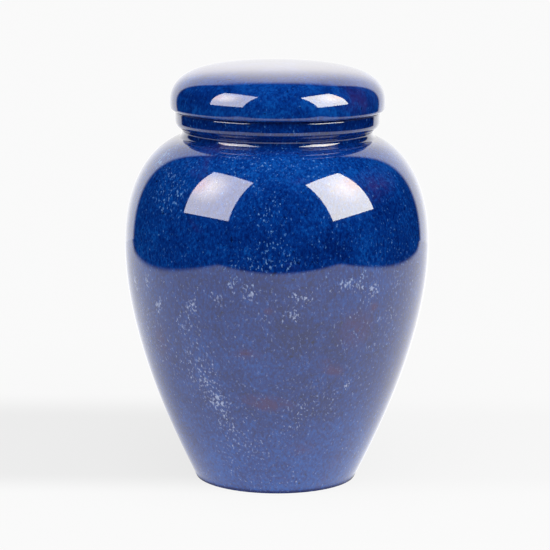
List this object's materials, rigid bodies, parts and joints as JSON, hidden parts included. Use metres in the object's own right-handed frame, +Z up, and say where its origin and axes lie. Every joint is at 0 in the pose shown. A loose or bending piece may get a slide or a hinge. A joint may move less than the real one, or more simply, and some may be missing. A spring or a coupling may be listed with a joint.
{
  "type": "funeral urn",
  "caption": "Shouldered vessel of polished blue stone with a rolled collar and a domed lid that lifts off, made to hold ashes.",
  "frame": {"origin": "centre of the flat underside", "axes": "+Z up along the axis of turning; the urn is round, so +X and +Y are any two level directions"},
  "size_m": [0.2032, 0.2032, 0.2808],
  "materials": {
    "blue_stone": "polished, mottled deep blue with fine pale flecks"
  },
  "bodies": {
    "root": {"vessel": "blue_stone", "lid": "blue_stone"}
  },
  "joints": []
}
